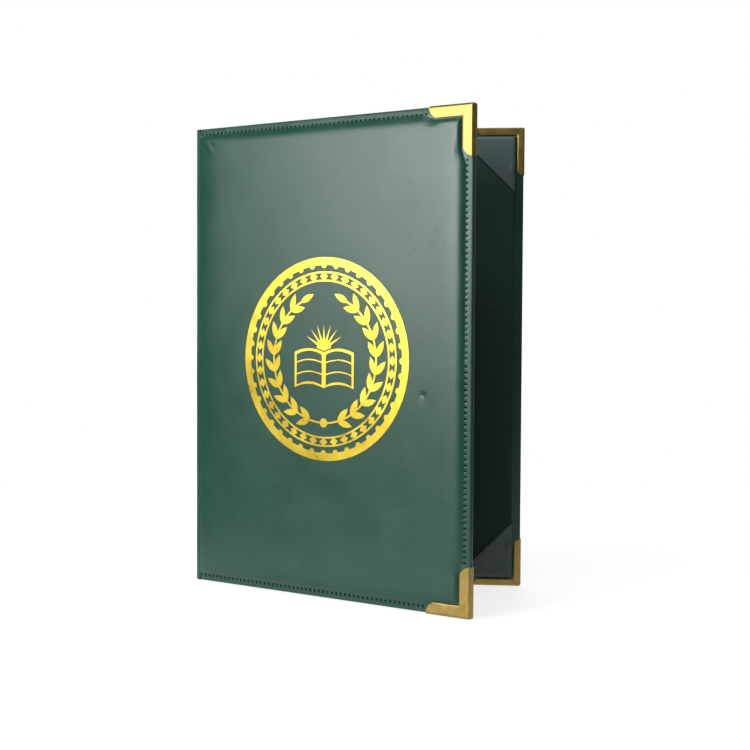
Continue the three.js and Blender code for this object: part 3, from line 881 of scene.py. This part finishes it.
def brass_section():
    """Inset and level round the sheet's outer surface, from the outer leg's border to the inner one's."""
    face = EDGE + BRASS_STAND
    wall = -BRASS_STAND
    eased = BRASS_ROUND * math.tan(math.pi / 8)
    outer_flat = np.linspace(OUTER_LEG - 1.8, 1.5, 6)
    bevel_start = INNER_LEG - BRASS_STAND - BORDER_BEVEL
    inner_flat = np.linspace(0.9, bevel_start - 0.5, 4)
    return [
        *arc(OUTER_LEG - BRASS_STAND - BRASS_ROUND, face - BRASS_ROUND, BRASS_ROUND, 0, 90, 5),
        *((inset, face) for inset in outer_flat),
        *arc(wall + FOLD_BEVEL + eased, face - BRASS_ROUND, BRASS_ROUND, 90, 135, 3),
        *arc(wall + BRASS_ROUND, face - FOLD_BEVEL - eased, BRASS_ROUND, 135, 180, 3),
        *((wall, level) for level in (EDGE / 2, EDGE / 4)),
        *arc(wall + BRASS_ROUND, wall + BRASS_ROUND, BRASS_ROUND, 180, 270, 5),
        *((inset, wall) for inset in inner_flat),
        *arc(bevel_start, wall + 1.0, 1.0, 270, 291, 3),
        (INNER_LEG - BRASS_STAND, BORDER_LEVEL),
    ]


def leg_reach(inset, level):
    """How far a leg runs from the corner at an inset, up to its rounded end."""
    radius = OUTER_LEG if level > EDGE / 2 else INNER_LEG
    across = min(inset + BRASS_STAND, radius)
    return BRASS_LEG - BRASS_STAND - radius + math.sqrt(radius**2 - across**2)


def rounded_corner(along, inset):
    """Rounds the corner of the L, seen from the front."""
    near_along = CORNER_ROUND - (along + BRASS_STAND)
    near_inset = CORNER_ROUND - (inset + BRASS_STAND)
    if near_along <= 0 or near_inset <= 0:
        return along, inset
    drawn_in = max(near_along, near_inset) / math.hypot(near_along, near_inset)
    corner = CORNER_ROUND - BRASS_STAND
    return corner - near_along * drawn_in, corner - near_inset * drawn_in


def brass_corner(side, at_top):
    """Sheet of one corner: two legs that meet in a mitre, with points close together at both ends."""
    near = np.linspace(0, 0.09, 6)[:-1]
    middle = np.linspace(0.09, 0.75, 12)[:-1]
    far = 0.75 + 0.25 * np.sin(np.linspace(0, math.pi / 2, 12))
    shares = np.concatenate([near, middle, far])
    section = brass_section()
    points = []
    for leg in ("along_edge", "along_height"):
        for inset, level in section:
            end = leg_reach(inset, level)
            for share in shares:
                along, across = rounded_corner(inset + (end - inset) * share, inset)
                u, z = (along, across) if leg == "along_edge" else (across, along)
                points.append((WIDTH - u, level, HEIGHT - z if at_top else z))
    count = len(shares) * len(section)
    faces = grid_faces(len(shares), len(section))
    faces += [face[::-1] for face in grid_faces(len(shares), len(section), count)]
    points = np.array(points)
    placed = place(side, points[:, 0], points[:, 1], points[:, 2])
    return weld(placed, faces, (side == BACK) != at_top)


for side, cover_name in NAMES.items():
    for end_name, at_top in (("top", True), ("bottom", False)):
        corner_points, corner_faces = brass_corner(side, at_top)
        corner_name = f"{cover_name}_{end_name}_brass"
        corner = link_piece(corner_name, corner_points, corner_faces, brass_material, sharp_angle=35)
        thicken(corner, BRASS_SHEET)
        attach(corner, f"{cover_name}_cover")
        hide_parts(f"{cover_name}_corner_{end_name}")


# The lining panels: dark green moire paper on thin card, glued over the turn-ins with a 6 mm margin.
# The back one is lifted a little at its corners by the pockets' turned edges.
LINING = 0.8
LINING_INSET = 6.0
LINING_START = 5.5
GLUE = 0.05
POCKET_SHEET = 0.4
POCKET_LEG = 37.0
POCKET_TURN_IN = 8.0
PANEL_COLUMNS, PANEL_ROWS = 72, 104
CARD_EDGE = 0.2
LINING_DARK, LINING_LIGHT = (0.022, 0.054, 0.043), (0.025, 0.061, 0.050)

lining_material, shader, nodes, links = new_material("moire_lining")
metres = texture_space(nodes, links, (1, 1, 1))
moire = nodes.new("ShaderNodeTexWave")
moire.wave_type = "BANDS"
moire.bands_direction = "Z"
moire.inputs["Scale"].default_value = 60
moire.inputs["Distortion"].default_value = 9
moire.inputs["Detail"].default_value = 3
moire.inputs["Detail Scale"].default_value = 0.35
links.new(metres, moire.inputs["Vector"])
watered = ramp(nodes, links, moire.outputs["Fac"], [(0.1, LINING_DARK), (0.9, LINING_LIGHT)])
links.new(watered, shader.inputs["Base Color"])
shader.inputs["Specular IOR Level"].default_value = 0.2
links.new(span(nodes, links, moire.outputs["Fac"], 0.56, 0.64), shader.inputs["Roughness"])
rib = nodes.new("ShaderNodeTexWave")
rib.bands_direction = "Z"
rib.inputs["Scale"].default_value = 420
rib.inputs["Distortion"].default_value = 0.6
links.new(metres, rib.inputs["Vector"])
links.new(raised(nodes, links, rib.outputs["Fac"], 0.00003, 0.25), shader.inputs["Normal"])


def lining_panel(side):
    """One panel's face, as a grid that is lifted over the pockets' turned edges."""
    u, z = np.meshgrid(
        np.linspace(LINING_START, WIDTH - LINING_INSET, PANEL_COLUMNS),
        np.linspace(LINING_INSET, HEIGHT - LINING_INSET, PANEL_ROWS),
    )
    across = np.minimum(u - LINING_START, WIDTH - LINING_INSET - u)
    from_end = np.minimum(z, HEIGHT - z) - LINING_INSET
    lifted = np.zeros_like(u)
    if side == BACK:
        over_flap = smoothstep(POCKET_TURN_IN + 8, POCKET_TURN_IN, np.minimum(across, from_end))
        near_corner = smoothstep(POCKET_LEG + 12, POCKET_LEG - 2, across + from_end)
        lifted = (POCKET_SHEET + GLUE) * over_flap * near_corner
    level = -GLUE - LINING - lifted - 0.03 * np.sin(u / 19) * np.sin(z / 27)
    faces = [face[::-1] for face in grid_faces(PANEL_COLUMNS, PANEL_ROWS)]
    return place(side, u.ravel(), level.ravel(), z.ravel()), faces


def thicken_card(piece, millimetres):
    """Thickness with softened edges, for card."""
    thicken(piece, millimetres)
    soften = piece.modifiers.new("soft_edges", "BEVEL")
    soften.width = CARD_EDGE / 1000
    soften.segments = 2
    soften.limit_method = "ANGLE"
    soften.angle_limit = math.radians(60)


for side, cover_name in NAMES.items():
    panel_points, panel_faces = lining_panel(side)
    panel_points, panel_faces = weld(panel_points, panel_faces, side == BACK)
    panel = link_piece(f"{cover_name}_lining_panel", panel_points, panel_faces, lining_material)
    thicken_card(panel, LINING)
    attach(panel, f"{cover_name}_cover")
    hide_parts(f"{cover_name}_lining")


# The four corner pockets: triangles of grey-green satin, hemmed along the slant and turned round the
# lining's edges, with a little slack at the mouth for the diploma. The satin pulls into small folds by the
# brass.
PAPER_GAP = 0.3
SATIN = 0.2
POCKET_HEM = 3.0
MOUTH_SLACK = 0.65
MOUTH_RIPPLE = 0.12
SIDE_FOLD = 0.8  # the fold that stands up along the upright brass leg
END_FOLD = 0.25
SATIN_DARK, SATIN_LIGHT = (0.061, 0.099, 0.098), (0.086, 0.130, 0.129)

pocket_material, shader, nodes, links = new_material("pocket_satin")
threads = noise(nodes, links, texture_space(nodes, links, (1, 1, 9)), 380, 3, 0.6)
links.new(ramp(nodes, links, threads, [(0.3, SATIN_DARK), (0.7, SATIN_LIGHT)]), shader.inputs["Base Color"])
shader.inputs["Roughness"].default_value = 0.42
shader.inputs["Sheen Weight"].default_value = 0.25
shader.inputs["Sheen Roughness"].default_value = 0.4
links.new(raised(nodes, links, threads, 0.00008, 0.45), shader.inputs["Normal"])


def pocket_sheet(by_spine, at_top):
    """Points in u, v and z and faces of one pocket, from its slanted mouth to its turned edges."""
    steps = 36
    leg = POCKET_LEG - POCKET_SHEET
    front = -(2 * GLUE + POCKET_SHEET + LINING + PAPER_GAP + POCKET_SHEET)
    index = {}
    points = []
    faces = []

    def add(key, a, b, level):
        index[key] = len(points)
        corner_u = LINING_START if by_spine else WIDTH - LINING_INSET
        u = corner_u + a if by_spine else corner_u - a
        z = HEIGHT - LINING_INSET - b if at_top else LINING_INSET + b
        points.append((u, level, z))

    for i in range(steps + 1):
        for j in range(steps + 1 - i):
            a = leg * i / steps
            b = leg * j / steps
            mouth = smoothstep(0.45, 1.0, (a + b) / leg)
            middle = max(1 - ((a - b) / (a + b + 1e-6)) ** 2, 0)
            slack = MOUTH_SLACK * mouth * middle
            ripple = MOUTH_RIPPLE * math.sin((a - b) * 0.55) * mouth * (1 - middle)
            fold = SIDE_FOLD * bump(math.hypot(a - 1.4, (b - 0.56 * leg) * 0.35), 1.2)
            fold += END_FOLD * bump(math.hypot(b - 1.8, (a - 0.7 * leg) * 0.5), 2.0)
            edge_drop = 0.35 * (bump(a, 0.7) + bump(b, 0.7)) * (1 - mouth * 0.4)
            add((i, j), a, b, front - slack - ripple - fold + edge_drop)
    for i in range(steps):
        for j in range(steps - i):
            faces.append((index[i, j], index[i + 1, j], index[i, j + 1]))
            if i + j < steps - 1:
                faces.append((index[i + 1, j], index[i + 1, j + 1], index[i, j + 1]))

    # out from the lining's edge and level: rounded over the edge, down beside it and back under it
    wrap = [(0.30, front + 0.75), (0.42, front + 1.05), (0.42, -0.45), (0.25, -0.2), (-2.5, -GLUE)]
    for layer, (out, level) in enumerate(wrap):
        for j in range(steps + 1):
            b = leg * j / steps
            inward = -out if j == 0 else max(b, -out)
            add(("a", layer, j), -out, inward, level)
            add(("b", layer, j), inward, -out, level)
    for leg_name in ("a", "b"):
        border = [index[0, j] if leg_name == "a" else index[j, 0] for j in range(steps + 1)]
        for layer in range(len(wrap)):
            turned = [index[leg_name, layer, j] for j in range(steps + 1)]
            for j in range(steps):
                quad = (border[j], border[j + 1], turned[j + 1], turned[j])
                faces.append(quad if leg_name == "a" else quad[::-1])
            border = turned

    # the hem turned under along the mouth
    for i in range(steps + 1):
        j = steps - i
        u, level, z = points[index[i, j]]
        add(("hem", i), leg * i / steps - 0.1, leg * j / steps - 0.1, level + 0.42)
        hem_a, hem_b = (max(leg * way / steps - POCKET_HEM, 0) for way in (i, j))
        add(("under", i), hem_a, hem_b, level + 0.5)
    for i in range(steps):
        near = (index[i, steps - i], index[i + 1, steps - i - 1])
        for key in ("hem", "under"):
            far = (index[key, i], index[key, i + 1])
            faces.append((near[1], near[0], far[0], far[1]))
            near = far
    return np.array(points), faces


for by_spine in (False, True):
    for at_top in (True, False):
        where = f"{'spine' if by_spine else 'outer'}_{'top' if at_top else 'bottom'}"
        sheet_points, sheet_faces = pocket_sheet(by_spine, at_top)
        placed = place(BACK, sheet_points[:, 0], sheet_points[:, 1], sheet_points[:, 2])
        placed, sheet_faces = weld(placed, sheet_faces, by_spine == at_top)
        pocket = link_piece(f"{where}_pocket", placed, sheet_faces, pocket_material)
        thicken(pocket, SATIN)
        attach(pocket, "back_cover")
        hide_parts(f"pocket_{where}")


# The seal: gold foil stamped on the front cover with a hot die. A scalloped band and a chain of lozenges
# between two rings go round a laurel wreath and a sun that rises behind an open book. The foil follows the
# leatherette's grain and is slightly uneven.
FOIL_DARK, FOIL_LIGHT = (0.70, 0.47, 0.035), (0.88, 0.68, 0.08)

foil_material, shader, nodes, links = new_material("gold_foil")
metres = texture_space(nodes, links, (1, 1, 1))
wear = noise(nodes, links, metres, 70, 4, 0.6)
links.new(ramp(nodes, links, wear, [(0.25, FOIL_DARK), (0.75, FOIL_LIGHT)]), shader.inputs["Base Color"])
shader.inputs["Metallic"].default_value = 0.9
links.new(span(nodes, links, wear, 0.26, 0.34, 0.3, 0.7), shader.inputs["Roughness"])
foil_grain = noise(nodes, links, metres, 1500, 2)
links.new(raised(nodes, links, foil_grain, 0.00005, 0.4), shader.inputs["Normal"])
for part in ("border", "ring", "wreath", "book", "sun"):
    finish_node(f"seal_{part}", foil_material)
